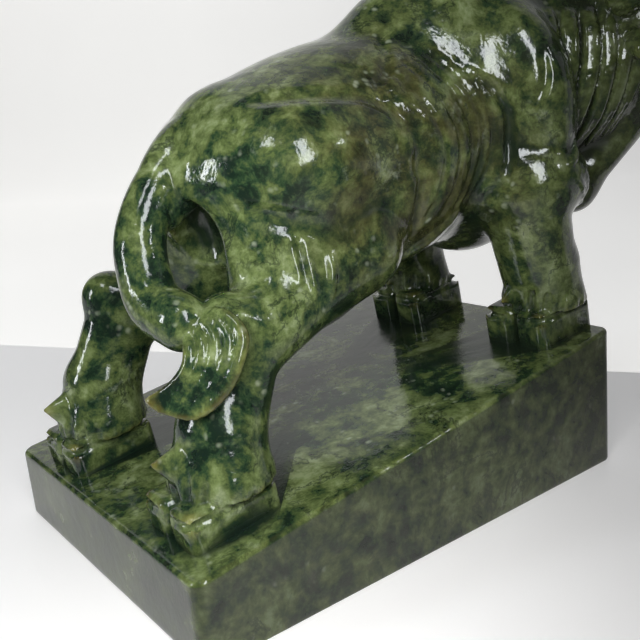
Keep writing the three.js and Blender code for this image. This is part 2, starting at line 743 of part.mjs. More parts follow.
function jadeBull() {
  const bull = simplified(surfaceOf(carvedBull()), MOST_FACETS);
  const [wedge, column] = plinthGeometries().map(solidOf);
  const plinth = wedge.intersect(column);
  const whole = solidOf(standOnPlinth(geometryOf(bull))).add(plinth).getMesh();
  const geometry = geometryOf({
    positions: whole.vertProperties,
    triangles: Array.from(whole.triVerts),
  });
  geometry.computeVertexNormals();
  const jade = new THREE.MeshStandardMaterial({
    color: JADE_COLOUR,
    roughness: JADE_ROUGHNESS,
    metalness: 0,
  });
  const mesh = new THREE.Mesh(geometry, jade);
  mesh.name = "jade_bull";
  return mesh;
}

const part = new THREE.Group();
part.add(jadeBull());

export default part;
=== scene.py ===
import itertools
import math

import bpy
import numpy as np
from mathutils import Matrix, Vector


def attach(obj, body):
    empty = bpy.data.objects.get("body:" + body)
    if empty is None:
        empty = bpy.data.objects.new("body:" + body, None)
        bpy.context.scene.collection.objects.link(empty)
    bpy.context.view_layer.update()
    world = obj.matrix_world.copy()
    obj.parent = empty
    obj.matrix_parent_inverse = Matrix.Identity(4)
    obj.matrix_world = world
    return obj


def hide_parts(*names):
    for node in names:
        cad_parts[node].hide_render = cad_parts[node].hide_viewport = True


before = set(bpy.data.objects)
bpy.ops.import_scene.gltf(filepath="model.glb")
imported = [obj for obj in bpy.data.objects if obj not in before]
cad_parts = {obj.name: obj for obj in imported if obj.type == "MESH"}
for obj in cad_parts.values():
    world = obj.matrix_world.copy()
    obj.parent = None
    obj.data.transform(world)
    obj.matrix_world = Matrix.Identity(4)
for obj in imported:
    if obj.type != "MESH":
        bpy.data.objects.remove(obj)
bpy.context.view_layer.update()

# A jade bull in a charging pose on a sloping plinth, one block of polished stone. The carving is
# worked out in millimetres in the bull's own frame, which stands on the plinth's top: along the
# slope to the front, across to the bull's left, and up square to the slope.

PLINTH_LENGTH = 134.0
PLINTH_WIDTH = 100.0
PLINTH_REAR_HEIGHT = 19.0
PLINTH_FRONT_HEIGHT = 39.0
PLINTH_EDGE_CHAMFER = 0.8
PLINTH_CORNER_RADIUS = 3.0
PLINTH_SLOPE = math.atan2(PLINTH_FRONT_HEIGHT - PLINTH_REAR_HEIGHT, PLINTH_LENGTH)
PLINTH_MIDDLE_HEIGHT = (PLINTH_REAR_HEIGHT + PLINTH_FRONT_HEIGHT) / 2

MIDLINE_AT_FORELEGS = -11.0
FORELEGS_ALONG = 58.0
MIDLINE_SLOPE = 0.0743
RIGHT, LEFT = -1, 1

FOOT_ROOT = 3.0
HAIR_GROOVES = 20
CLAW_EDGE = 2.4
SEAM_RADIUS = 1.0
MANE_LOCKS = 7
LOCK_PIECES = 20
LOCK_SWEEP = 0.3
TUFT_STRANDS = 5
GRID_STEP = 0.6
SLOPE_REACH = 1.5
SKIN_PIECES = 6
JOINT_BLEND = 0.3
CUT_ROUND = 0.5
BULL_FACETS = 170000
MILLIMETRE = 0.001


def at(along, across, up):
    """A place in the bull's own frame."""
    return np.array([along, across, up], float)


def beside(side, along, offset, up):
    """A point at an offset from the bull's midline, to one side."""
    middle = MIDLINE_AT_FORELEGS + (FORELEGS_ALONG - along) * MIDLINE_SLOPE
    return at(along, middle + side * offset, up)


def curved(points, pieces):
    """Centripetal Catmull-Rom curve: between two points a cubic whose end slopes come from the
    neighbours, each weighed by the fourth root of its squared distance."""
    p = np.asarray(points, float)
    p = np.vstack([2 * p[0] - p[1], p, 2 * p[-1] - p[-2]])
    where = np.linspace(0, len(p) - 3, pieces + 1)
    first = np.minimum(where.astype(int), len(p) - 4)
    t = (where - first)[:, None]
    a, b, c, d = p[first], p[first + 1], p[first + 2], p[first + 3]
    ab, bc, cd = (np.sqrt(np.linalg.norm(q - r, axis=1))[:, None] for q, r in ((b, a), (c, b), (d, c)))
    start = ((b - a) / ab - (c - a) / (ab + bc) + (c - b) / bc) * bc
    end = ((c - b) / bc - (d - b) / (bc + cd) + (d - c) / cd) * bc
    return b + start * t + (3 * (c - b) - 2 * start - end) * t**2 + (2 * (b - c) + start + end) * t**3


def limb(a, b, radius_a, radius_b, flat=1.0):
    """A bar with round ends: the distance to the segment a b, less a radius that runs evenly from
    one end's to the other's. flat stretches it across the bull."""
    reach = max(radius_a, radius_b) * max(flat, 1)
    scale = np.array([1, flat, 1])
    run = (b - a) / scale

    def distance(x, y, z):
        px, py, pz = x - a[0], (y - a[1]) / flat, z - a[2]
        t = np.clip((px * run[0] + py * run[1] + pz * run[2]) / max(run @ run, 1e-9), 0, 1)
        away = np.sqrt((px - run[0] * t) ** 2 + (py - run[1] * t) ** 2 + (pz - run[2] * t) ** 2)
        return away - radius_a - (radius_b - radius_a) * t

    return np.minimum(a, b) - reach, np.maximum(a, b) + reach, distance


def muscle(centre, half, yaw=0.0):
    """An ellipsoid: with q the point over the half-axes, |q| (|q| - 1) over |q over the half-axes|."""
    axes = np.array(Matrix.Rotation(math.radians(yaw), 3, "Z")).T
    half = np.asarray(half, float)
    reach = half.max()

    def distance(x, y, z):
        px, py, pz = x - centre[0], y - centre[1], z - centre[2]
        q = [(px * u[0] + py * u[1] + pz * u[2]) / h for u, h in zip(axes, half)]
        near = np.sqrt(q[0] ** 2 + q[1] ** 2 + q[2] ** 2)
        slope = np.sqrt((q[0] / half[0]) ** 2 + (q[1] / half[1]) ** 2 + (q[2] / half[2]) ** 2)
        return near * (near - 1) / np.maximum(slope, 1e-6)

    return centre - reach, centre + reach, distance


def rounded_block(centre, half, radius):
    """A block with rounded edges: the length of what lies beyond the shrunk block, less a radius."""
    half = np.asarray(half, float)

    def distance(x, y, z):
        q = [np.abs(v - c) - h + radius for v, c, h in zip((x, y, z), centre, half)]
        beyond = np.sqrt(sum(np.maximum(v, 0) ** 2 for v in q))
        return beyond + np.minimum(np.maximum(np.maximum(q[0], q[1]), q[2]), 0) - radius

    return centre - half, centre + half, distance


def above(height, form):
    """A form cut off flat at a height, with a small round on the cut's edge."""
    low, high, inner = form
    return low, high, lambda x, y, z: smooth_max(inner(x, y, z), height - z, CUT_ROUND)


def smooth_min(a, b, blend):
    """The lesser of two distances, rounded where they differ by less than the blend."""
    if blend <= 0:
        return np.minimum(a, b)
    h = np.maximum(blend - np.abs(a - b), 0)
    return np.minimum(a, b) - h * h / (4 * blend)


def smooth_max(a, b, blend):
    """The greater of two distances, rounded in the same way."""
    return -smooth_min(-a, -b, blend)


class Stone:
    """Distances to the surface on a grid of points, negative in the stone."""

    def __init__(self, low, high, step):
        self.low, self.step = np.asarray(low, float), step
        count = np.ceil((np.asarray(high) - self.low) / step).astype(int) + 1
        self.values = np.full(count, 1e3, np.float32)

    def change(self, form, margin, rule):
        """Work the rule on the old distances and the form's, in the box of grid points about it."""
        low, high, distance = form
        first = np.maximum(np.floor((low - margin - self.low) / self.step).astype(int), 0)
        last = np.ceil((high + margin - self.low) / self.step).astype(int) + 1
        last = np.minimum(last, self.values.shape)
        if (last <= first).any():
            return
        part = tuple(slice(f, l) for f, l in zip(first, last))
        axes = [self.low[n] + self.step * np.arange(first[n], last[n]) for n in range(3)]
        x, y, z = axes[0][:, None, None], axes[1][None, :, None], axes[2][None, None, :]
        self.values[part] = rule(self.values[part], distance(x, y, z))

    def add(self, form, blend):
        """Join a form on: the smooth lesser of the two distances."""
        self.change(form, blend + 3 * self.step, lambda old, new: smooth_min(old, new, blend))

    def cut(self, form, blend):
        """Take a form away: the smooth greater of the distance and the form's turned round."""
        self.change(form, blend + self.step, lambda old, new: smooth_max(old, -new, blend))

    def add_run(self, points, radii, blend):
        """Join on a chain of bars from point to point, the first with the blend."""
        for n in range(len(points) - 1):
            form = limb(points[n], points[n + 1], radii[n], radii[n + 1])
            self.add(form, JOINT_BLEND if n else blend)

    def cut_run(self, points, radii, blend):
        """Take away a chain of bars from point to point."""
        for n in range(len(points) - 1):
            self.cut(limb(points[n], points[n + 1], radii[n], radii[n + 1]), blend)

    def skin(self, side, along, up):
        """The first place in the stone, coming in across the bull from one side."""
        i = int(round((along - self.low[0]) / self.step))
        k = int(round((up - self.low[2]) / self.step))
        line = self.values[i, :, k]
        inside = np.flatnonzero(line < 0)
        if not len(inside):
            return beside(side, along, 30, up)
        j = inside[-1] if side == LEFT else inside[0]
        out = line[j + side]
        share = line[j] / (line[j] - out)
        return at(along, self.low[1] + (j + side * share) * self.step, up)

    def out_of(self, places):
        """The way out of the stone at places: the slope of the distance, made a unit long."""
        reach = SLOPE_REACH * np.eye(3)
        slope = np.stack([self.read(places + r) - self.read(places - r) for r in reach], axis=1)
        return slope / np.maximum(np.linalg.norm(slope, axis=1), 1e-6)[:, None]

    def on_skin(self, side, places):
        """A smooth line on the skin of one side through places that are given along and up."""
        steps = SKIN_PIECES * (len(places) - 1)
        flat = curved([(a, u, 0) for a, u in places], steps)
        line = np.array([self.skin(side, a, u) for a, u, _ in flat])
        return line, self.out_of(line), np.sin(np.linspace(0.06, 0.94, steps + 1) * math.pi) ** 0.6

    def furrow(self, side, places, radius, depth, blend=0.6):
        """A groove that fades at both ends, cut by a bar that stays mostly outside the skin."""
        line, out, fade = self.on_skin(side, places)
        line += out * (radius - depth * fade)[:, None]
        self.cut_run(line, [radius] * len(line), blend)

    def ridge(self, side, places, radius, proud, blend):
        """A raised line on the skin that fades at both ends."""
        line, out, fade = self.on_skin(side, places)
        line += out * (proud * fade - radius)[:, None]
        self.add_run(line, [radius] * len(line), blend)

    def read(self, places):
        """The distance at places anywhere, from the eight grid points about each."""
        cells = (places - self.low) / self.step
        cells = np.clip(cells, 0, np.array(self.values.shape) - 1.001)
        first = cells.astype(int)
        part = cells - first
        total = np.zeros(len(places))
        for corner in itertools.product((0, 1), repeat=3):
            share = np.prod(np.where(np.array(corner), part, 1 - part), axis=1)
            n = first + corner
            total += share * self.values[n[:, 0], n[:, 1], n[:, 2]]
        return total


def add_trunk(stone):
    """The trunk: ellipsoids for the belly, the ribs, the chest and the withers."""
    stone.add(muscle(at(4, -7, 62.5), [36, 27, 25]), 0)
    stone.add(muscle(at(25, -8, 59.5), [38, 31, 30.5]), 8)
    stone.add(muscle(at(59, -11, 60), [28, 23.5, 37]), 8)
    stone.add(muscle(at(50, -10.5, 84), [24, 14, 16]), 8)


def add_hind_leg(stone, side, step):
    """A hind leg, stretched back from a round haunch to the hock, with its foot a step on."""
    def p(along, offset, up):
        return beside(side, along, offset, up)
    stone.add(muscle(p(-8, 16, 48), [21, 13.5, 22]), 5)
    stone.add(muscle(p(6, 20.5, 42), [9, 9.5, 10]), 6)
    stone.add(limb(p(0, 20, 43), p(-28 + step, 25, 35), 10.5, 9.5), 5)
    stone.add(muscle(p(-37 + step, 27, 40), [6.5, 6, 6.3]), 2.5)
    stone.add(limb(p(-34 + step, 26.5, 35), p(-44 + step, 28, 18), 9.4, 9.6, 0.85), 3)
    stone.add(muscle(p(-3.5, 13, 65.5), [23, 20.5, 15.5]), 7)
    bell, hoof = (-47.3 + step, 28.3, 11.8), (-51.3 + step / 2, 28.6, 11.4)
    add_foot(stone, p, bell, hoof, 7.0, (-61 + step, 27.5, 17))


def add_foreleg(stone, side, step, apart):
    """A foreleg under its shoulder blade, with its foot a step in front and set apart."""
    def p(along, offset, up):
        return beside(side, along, offset, up)

    def foot(along, offset, up):
        return p(along + step, offset + apart, up)
    stone.add(muscle(p(60.5, 22, 43), [17, 15.5, 13.5]), 8)
    stone.add(muscle(p(63, 16.5, 61.5), [13.5, 19.5, 27.5]), 1.6)
    stone.add(limb(p(57.5, 23.5, 38), foot(58.5, 24, 20), 11.6, 10.4), 1.5)
    add_foot(stone, foot, (60, 23.5, 11.0), (58, 22, 10.8), 8.5, (47, 21, 13))


def add_foot(stone, p, bell, hoof, rim, dewclaw):
    """A foot: a bell-shaped fetlock, grooved like hair, whose rim stands over two claws, and one
    pointed dewclaw behind. A seam runs round under the rim, on an outline where the fourth powers
    of the two shares of its half-sizes add up to one."""
    bell_along, bell_offset, radius = bell
    centre = p(bell_along, bell_offset, rim + 2)
    waist = p(bell_along + 2, bell_offset, rim + 11)
    stone.add(above(rim, limb(waist, centre, radius - 2.6, radius, 1.1)), 3)
    for angle in np.arange(0, 360, 360 / HAIR_GROOVES):
        out = np.array([math.cos(math.radians(angle)), 1.1 * math.sin(math.radians(angle)), 0])
        hem = centre + out * (radius + 0.95 + 0.12 * math.sin(3 * angle)) + at(0, 0, -2)
        top = waist + out * (radius + 0.9) + at(0, 0, -4 - 2 * math.sin(angle))
        stone.cut_run(np.array([hem, top]), [1.5, 0.9], 0.5)
    heel = p(bell_along - radius * 0.55, bell_offset, rim + 7)
    stone.add(limb(heel, p(*dewclaw), 6.6, 0.6, 0.75), 0.8)
    hoof_along, hoof_offset, length = hoof
    stone.add(muscle(p(hoof_along, hoof_offset, rim / 2), [length * 0.75, 6, rim]), 0.4)
    for claw in (-1, 1):
        middle = p(hoof_along, hoof_offset + claw * 5.6, (rim - FOOT_ROOT) / 2)
        stone.add(rounded_block(middle, [length, 5, (rim + 3 + FOOT_ROOT) / 2], CLAW_EDGE), 0.3)
    around = np.radians(np.arange(0, 361, 10))
    square = (np.cos(around) ** 4 + np.sin(around) ** 4) ** -0.25
    seam = np.stack([(length + 0.4) * np.cos(around), 11 * np.sin(around), 0 * around], axis=1)
    seam = p(hoof_along, hoof_offset, rim - 0.5) + seam * square[:, None]
    stone.cut_run(seam, [SEAM_RADIUS] * len(seam), 0.3)


def add_tail(stone):
    """The tail, from a broad root down behind a deep hollow that opens between the buttocks."""
    stone.cut(muscle(at(-27.5, -11, 52.5), [7, 13, 12], -28), 2)
    stone.add_run([at(-12, -6, 73.5), at(-25, -7, 69), at(-33, -8, 63)], [11, 8.2, 5.6], 3)
    line = [at(-10, -4, 74.8), at(-23, -6, 73), at(-33.5, -8, 67), at(-41.6, -11, 58.3)]
    line += [at(-44.5, -14.5, 50.5), at(-45.5, -18.5, 45.5), at(-44.5, -27, 42.2)]
    t = np.linspace(0, 1, 41)
    stone.add_run(curved(line, 40), 9 - 3.8 * np.minimum(t / 0.3, 1) + t, 5)


def add_tuft(stone):
    """The tuft: strands that go over the hock, bend round and run back to points behind it. They
    lie side by side between an inner and an outer line."""
    inner = [at(-45.5, -26, 42), at(-45.5, -30, 41), at(-47.1, -33, 38.5), at(-48.7, -34, 36)]
    inner = np.array(inner + [at(-51, -33, 33.5), at(-54.1, -31, 31.5), at(-57.6, -29, 30.5)])
    outer = [at(-42.7, -29, 43.5), at(-39, -35, 43.4), at(-38.2, -39.5, 39.5), at(-41.5, -41, 35)]
    outer = np.array(outer + [at(-46, -40.5, 30.2), at(-52, -37.5, 26.8), at(-57, -32, 28.8)])
    t = np.sin(math.pi * (0.15 + 0.8 * np.linspace(0, 1, 25)))
    proud = at(-0.7, -1.1, 0.3) * t[:, None]

    def strand(share):
        return curved(inner + (outer - inner) * share, 24) + proud
    for share in (0.3, 0.5, 0.7):
        stone.add_run(strand(share) - 1.9 * proud, 0.5 + 1.9 * t, 1.5)
    for share in np.linspace(0, 1, TUFT_STRANDS):
        stone.add_run(strand(share), 0.5 + 0.95 * t, 0.05)


NECK = [at(60, -11, 66), at(76, -18, 66), at(91, -28, 65), at(103, -37, 67)]


def neck_radius(t):
    """The neck's radius at a share t of its length, which falls evenly to the poll."""
    return 29 - 13 * t


def add_neck(stone):
    """The neck along its curve, the crest on top, and the dewlap in two bars below."""
    stone.add_run(curved(NECK, 8), neck_radius(np.linspace(0, 1, 9)), 8)
    stone.add(limb(at(56, -11, 86), at(100, -34, 79), 13, 10), 8)
    stone.add(limb(at(70, -14, 38), at(83, -30, 35), 10, 6.4), 8)
    stone.add(limb(at(83, -30, 35), at(100, -39, 51), 6.4, 6.6), 5)


def mane_line(side, root, proud):
    """A line down one side of the neck from the crest: it turns about the neck's axis by an angle
    that grows evenly, and slides back along it by the square of how far down it is."""
    down = np.linspace(0, 1, 6)
    t = np.minimum(root - LOCK_SWEEP * down * down, 1)
    fine = curved(NECK, 400)
    where = np.clip(t, 0, 1) * 400
    centre = fine[where.round().astype(int)]
    ahead = fine[np.minimum(where.astype(int) + 1, 400)] - fine[np.minimum(where.astype(int), 399)]
    out = np.stack([-ahead[:, 1], ahead[:, 0], 0 * down], axis=1)
    out /= np.linalg.norm(out, axis=1)[:, None]
    turn = np.radians(8 + 134 * down)
    radius = (neck_radius(t) + proud)[:, None]
    place = centre + side * out * np.sin(turn)[:, None] * radius
    place[:, 2] += np.cos(turn) * radius[:, 0]
    return curved(place, LOCK_PIECES)


def add_mane(stone):
    """Locks down both sides of the neck, each a swelling bar with two finer strands on it."""
    swell = np.sin(math.pi * (0.1 + 0.85 * np.linspace(0, 1, LOCK_PIECES + 1)))
    for side in (RIGHT, LEFT):
        for i in range(MANE_LOCKS):
            root = 0.38 + 0.68 * i / (MANE_LOCKS - 1)
            stone.add_run(mane_line(side, root, 0.3), 0.8 + 2.1 * swell, 0.5)
            for shift in (-0.022, 0.022):
                strand = mane_line(side, root + shift, 1.6)
                stone.add_run(strand, 0.3 + 1.1 * swell, 0.1)


POLL = at(103, -37, 78)
MUZZLE = at(117.5, -52.5, 45)


def add_head(stone):
    """The head, in its own frame: down the face from poll to muzzle, out to a side, and proud of
    the face. Bars make the skull, jaw and muzzle, and curved runs the horns, ears and lids."""
    forward = MUZZLE - POLL
    length = np.linalg.norm(forward)
    forward /= length
    face = at(0, 0, 1) - forward * forward[2]
    face /= np.linalg.norm(face)
    sideways = np.cross(face, forward)

    def p(down, out, proud):
        return POLL + forward * down * length + sideways * out + face * proud
    stone.add(limb(p(0, -4, -2), p(0, 4, -2), 11.5, 11.5), 4)
    stone.add(limb(p(0.1, 0, -1), p(0.55, 0, -1), 12.5, 10), 4)
    stone.add(limb(p(0.5, 0, -1), p(0.92, 0, -1), 9.6, 8), 4)
    stone.add(limb(p(0.42, 0, -9), p(0.9, 0, -4), 8.6, 6.2), 3)
    stone.add(limb(p(0.95, -3.6, -0.5), p(0.95, 3.6, -0.5), 7.6, 7.6), 2)
    for side in (RIGHT, LEFT):
        stone.add(muscle(p(0.3, side * 8.5, 4.5), [4.4, 4.4, 4.4]), 2)
        stone.add(muscle(p(0.52, side * 6, -8), [8, 5, 8]), 2.5)
        horn = [p(-0.04, side * 7, 1), p(-0.12, side * 17, 2), p(-0.1, side * 24, 9)]
        horn.append(p(-0.22, side * 26, 19))
        stone.add_run(curved(horn, 20), np.linspace(5.4, 1, 21), 2)
        ear = [p(0.08, side * 8, 0), p(0.13, side * 17, -2), p(0.22, side * 26, -3)]
        stone.add_run(curved(ear, 5), [3, 3.6, 4.2, 4, 2.8, 0.8], 1.2)
        hollow = [p(0.11, side * 13, 2.6), p(0.15, side * 18, 2), p(0.2, side * 23, 0.6)]
        stone.cut_run(curved(hollow, 6), [1.0, 1.7, 2.1, 2.0, 1.6, 1.0, 0.5], 0.6)
        stone.cut(muscle(p(0.37, side * 10.6, 4.4), [2.7, 2.7, 2.7]), 0.5)
        stone.add(muscle(p(0.375, side * 9.9, 4.0), [2.5, 2.5, 2.5]), 0.1)
        lid = [p(0.3, side * 8.4, 7.6), p(0.33, side * 11.6, 6.6), p(0.39, side * 13.2, 4.2)]
        stone.add_run(curved(lid, 6), [0.7, 0.9, 1.0, 1.0, 0.9, 0.8, 0.5], 0.5)
        stone.cut(muscle(p(1.08, side * 4.4, 5), [2.2, 2.2, 2.2]), 0.6)
        nose_wing = [p(0.98, side * 2.4, 8.2), p(1.06, side * 6.4, 7.2), p(1.14, side * 7.4, 3)]
        stone.add_run(curved(nose_wing, 6), [0.6, 0.9, 1.1, 1.1, 1.0, 0.8, 0.5], 0.6)
    mouth = [p(0.74, -9, -6.4), p(0.98, -8.2, -6.6), p(1.14, 0, -6.5)]
    mouth += [p(0.98, 8.2, -6.6), p(0.74, 9, -6.4)]
    stone.cut_run(curved(mouth, 16), [0.9] * 17, 0.5)
    for row, (down, width) in enumerate(((-0.02, 6), (0.07, 7.5), (0.16, 5))):
        for out in np.linspace(-width, width, 4 - row % 2):
            stone.add(muscle(p(down, out, 9.4), [3.1, 3.1, 3.1]), 0.6)
            stone.cut(muscle(p(down, out, 12.6), [0.8, 0.8, 0.8]), 0.4)


def add_folds(stone, side):
    """Folds of the skin: the thigh's front edge, ribs behind the shoulder, the flank's lower rim,
    and what shows finely on the hip, the thigh's tendons and the shoulder."""
    stone.furrow(side, [(20, 60), (18.5, 50), (17.5, 42)], 2.4, 1)
    stone.furrow(side, [(43.5, 76), (48.5, 69), (50.2, 60.7), (48, 51.5), (42, 43)], 1.6, 1.2)
    below = [(-26, 61), (-18, 56.5), (-10, 52.5)]
    stone.furrow(side, below, 3, 0.4, 1.6)
    round_above = [(18.5, 58), (20.5, 63), (19, 69), (13, 75.5), (0.6, 79.6), (-11.9, 81.5)]
    stone.furrow(side, round_above, 3, 0.3, 1.6)
    stone.ridge(side, [(15, 34.5), (24, 38), (34, 42.5)], 1.6, 1.3, 1.5)
    for back, depth in ((3.5, 0.5), (6.5, 0.4), (10.5, 0.45), (16, 0.35), (22, 0.25)):
        rib = [(43 - back, 82), (47.5 - back, 72), (49.5 - back, 60), (46 - back, 50), (42 - back, 44)]
        stone.furrow(side, rib, 1.4, depth, 0.5)
    stone.furrow(side, [(15, 78), (20, 80), (25, 84), (29, 88)], 1.6, 0.45, 1)
    stone.furrow(side, [(17, 74.5), (22, 75.5), (27, 78)], 1.4, 0.3, 1)
    for top, foot in (((-18, 52), (-19.5, 44)), ((-15, 50.5), (-17.5, 40)), ((-10.5, 46), (-13.5, 38))):
        stone.ridge(side, [top, foot], 1.4, 0.75, 0.9)
    stone.furrow(side, [(60, 76), (58.5, 70), (56, 65.5)], 1.6, 0.4, 0.8)
    stone.ridge(side, [(67, 52), (65.5, 49.5), (61, 47.5)], 1.3, 0.8, 0.6)
    stone.ridge(side, [(66.5, 45.5), (69.5, 39), (70.5, 33)], 1.1, 0.5, 0.8)
    stone.ridge(side, [(62, 44), (66, 38.5), (70, 32.5)], 1.1, 0.5, 0.8)


def carved_bull():
    """The whole carving as one field of distances."""
    stone = Stone([-70, -72, -FOOT_ROOT - 2], [138, 46, 122], GRID_STEP)
    add_trunk(stone)
    add_hind_leg(stone, RIGHT, 0)
    add_hind_leg(stone, LEFT, -3)
    add_foreleg(stone, RIGHT, 0, 0)
    add_foreleg(stone, LEFT, -1, 4)
    add_neck(stone)
    add_mane(stone)
    add_head(stone)
    add_tail(stone)
    add_tuft(stone)
    add_folds(stone, RIGHT)
    add_folds(stone, LEFT)
    return stone


def surface_of(stone):
    """The surface where the distance is nothing. Each cell is six tetrahedra round its long
    diagonal, and each is cut by one triangle or two, with its corners on the edges in proportion
    to the two ends' distances. A corner's number has one bit for each axis."""
    values = stone.values
    shape = np.array(values.shape)
    flat = values.ravel()
    strides = np.array([shape[1] * shape[2], shape[2], 1])
    bits = np.array([[c & 1, (c >> 1) & 1, (c >> 2) & 1] for c in range(8)])
    offsets = bits @ strides
    inside = values < 0
    count = np.zeros(shape - 1, np.int8)
    for bit in bits:
        count += inside[tuple(slice(b, s - 1 + b) for b, s in zip(bit, shape))]
    base = np.argwhere((count > 0) & (count < 8)) @ strides
    keys = []
    for number, (a, b) in enumerate(((1, 2), (2, 4), (4, 1), (2, 1), (1, 4), (4, 2))):
        corners = [0, a, a + b, 7] if number < 3 else [a, 0, a + b, 7]
        held = flat[base[:, None] + offsets[corners]] < 0
        code = held @ np.array([1, 2, 4, 8])
        for case in range(1, 15):
            cells = base[code == case]
            ins = [n for n in range(4) if case >> n & 1]
            outs = [n for n in range(4) if not case >> n & 1]
            order = ins + outs
            swaps = sum(order[m] > order[n] for m in range(4) for n in range(m + 1, 4))

            def key(m, n):
                low, high = sorted((corners[m], corners[n]))
                return (cells + offsets[low]) * 8 + (high - low)
            if len(ins) == 1:
                faces = [[key(ins[0], outs[0]), key(ins[0], outs[1]), key(ins[0], outs[2])]]
            elif len(ins) == 3:
                faces = [[key(ins[0], outs[0]), key(ins[1], outs[0]), key(ins[2], outs[0])]]
            else:
                w, x = key(ins[0], outs[0]), key(ins[0], outs[1])
                y, z = key(ins[1], outs[1]), key(ins[1], outs[0])
                faces = [[w, x, y], [w, y, z]]
            for face in faces:
                keys.append(np.stack(face[::-1] if swaps % 2 else face, axis=1))
    used, triangles = np.unique(np.concatenate(keys), return_inverse=True)
    start = used // 8
    end = start + offsets[used % 8]
    share = np.clip(flat[start] / (flat[start] - flat[end]), 0.03, 0.97)[:, None]
    ends = [np.stack(np.unravel_index(n, values.shape), axis=1) for n in (start, end)]
    points = stone.low + stone.step * (ends[0] + (ends[1] - ends[0]) * share)
    return points, triangles.reshape(-1, 3)


def to_frame(points):
    """From the bull's own frame in millimetres to the part's frame in metres: turned down by the
    plinth's slope and raised to the middle of its top."""
    c, s = math.cos(PLINTH_SLOPE), math.sin(PLINTH_SLOPE)
    x = points[:, 0] * c - points[:, 2] * s
    z = points[:, 0] * s + points[:, 2] * c + PLINTH_MIDDLE_HEIGHT
    return np.stack([x, points[:, 1], z], axis=1) * MILLIMETRE


def to_bull(points):
    """The way back from the part's frame to the bull's own frame."""
    c, s = math.cos(PLINTH_SLOPE), math.sin(PLINTH_SLOPE)
    x = points[:, 0] / MILLIMETRE
    z = points[:, 2] / MILLIMETRE - PLINTH_MIDDLE_HEIGHT
    return np.stack([x * c + z * s, points[:, 1] / MILLIMETRE, -x * s + z * c], axis=1)


def mesh_object(name, points, faces):
    """An object from whole arrays of places and of faces with the same number of corners."""
    mesh = bpy.data.meshes.new(name)
    corners = faces.shape[1]
    mesh.vertices.add(len(points))
    mesh.vertices.foreach_set("co", np.ascontiguousarray(points, np.float32).ravel())
    mesh.loops.add(faces.size)
    mesh.loops.foreach_set("vertex_index", np.ascontiguousarray(faces, np.int32).ravel())
    mesh.polygons.add(len(faces))
    mesh.polygons.foreach_set("loop_start", np.arange(0, faces.size, corners, dtype=np.int32))
    mesh.update(calc_edges=True)
    mesh.validate()
    piece = bpy.data.objects.new(name, mesh)
    bpy.context.scene.collection.objects.link(piece)
    return piece


def finished(piece):
    """The piece with its modifiers made part of its mesh."""
    graph = bpy.context.evaluated_depsgraph_get()
    mesh = bpy.data.meshes.new_from_object(piece.evaluated_get(graph))
    piece.modifiers.clear()
    piece.data = mesh
    return piece


def plinth_object():
    """The plinth: a rounded rectangle carried up a profile. Each row of the profile is an inset
    from the outline and a share of the height between the flat underside and the sloping top, and
    the arris wanders a little as a hand-lapped edge does."""
    r, c = PLINTH_CORNER_RADIUS, PLINTH_EDGE_CHAMFER
    half = np.array([PLINTH_LENGTH, PLINTH_WIDTH]) / 2 - r
    corner = np.radians(np.linspace(0, 90, 9))
    plan = []
    for turn, signs in enumerate(((1, 1), (-1, 1), (-1, -1), (1, -1))):
        angles = corner + math.radians(90 * turn)
        arc = np.stack([np.cos(angles), np.sin(angles)], axis=1)
        plan.append(np.hstack([np.tile(half * signs, (9, 1)), arc]))
        following = half * ((-1, 1), (-1, -1), (1, -1), (1, 1))[turn]
        steps = np.linspace(0, 1, 150 if turn % 2 == 0 else 110)[1:-1, None]
        middle = half * signs * (1 - steps) + following * steps
        plan.append(np.hstack([middle, np.tile(arc[-1], (len(steps), 1))]))
    plan = np.vstack(plan)
    centre, out = plan[:, :2], plan[:, 2:]
    around = np.arange(len(plan))
    waves = ((0.11, 1, 0.06), (0.37, 2, 0.05), (0.83, 4, 0.04), (1.9, 5, 0.03))
    wander = sum(np.sin(around * f + p) * a for f, p, a in waves)
    rows = []
    slope = math.tan(PLINTH_SLOPE)
    profile = (
        (1.4, 0, 0, 0, 0.94), (1.4, 0, 0, 0, 1), (1, 0, 0, 0, 1), (0.3, 0.25, 0, 0, 1), (0, 1, 0, 0, 1),
        (0, 2, 0, 0, 1), (0, -2, 1, 0, 1), (0, -1.3, 1, 0, 1), (0, -1, 1, 0.5, 1), (0.3, -0.45, 1, 1, 1),
        (0.7, -0.1, 1, 1, 1), (1.1, 0, 1, 0.5, 1), (1.6, 0, 1, 0, 1), (1.6, 0, 1, 0, 0.94),
    )
    for inset, up, from_top, worn, shrink in profile:
        xy = (centre + out * (r - inset * c - np.abs(wander)[:, None] * worn)) * shrink
        top = PLINTH_MIDDLE_HEIGHT + xy[:, :1] * slope
        rows.append(np.hstack([xy, top * from_top + up * c]))
    points = np.vstack(rows)
    n = len(plan)
    i, j = np.meshgrid(np.arange(len(rows) - 1), np.arange(n), indexing="ij")
    k = (j + 1) % n
    quads = np.stack([i * n + j, i * n + k, (i + 1) * n + k, (i + 1) * n + j], axis=-1).reshape(-1, 4)
    lids = [[0, 0, 0], [0, 0, PLINTH_MIDDLE_HEIGHT]]
    last = (len(rows) - 1) * n
    foot = np.stack([np.full(n, len(points)), around, np.roll(around, -1)], axis=1)[:, [0, 2, 1]]
    head = np.stack([np.full(n, len(points) + 1), last + around, last + np.roll(around, -1)], axis=1)
    triangles = np.vstack([quads[:, [0, 1, 2]], quads[:, [0, 2, 3]], foot, head])
    return mesh_object("plinth", np.vstack([points, lids]) * MILLIMETRE, triangles)


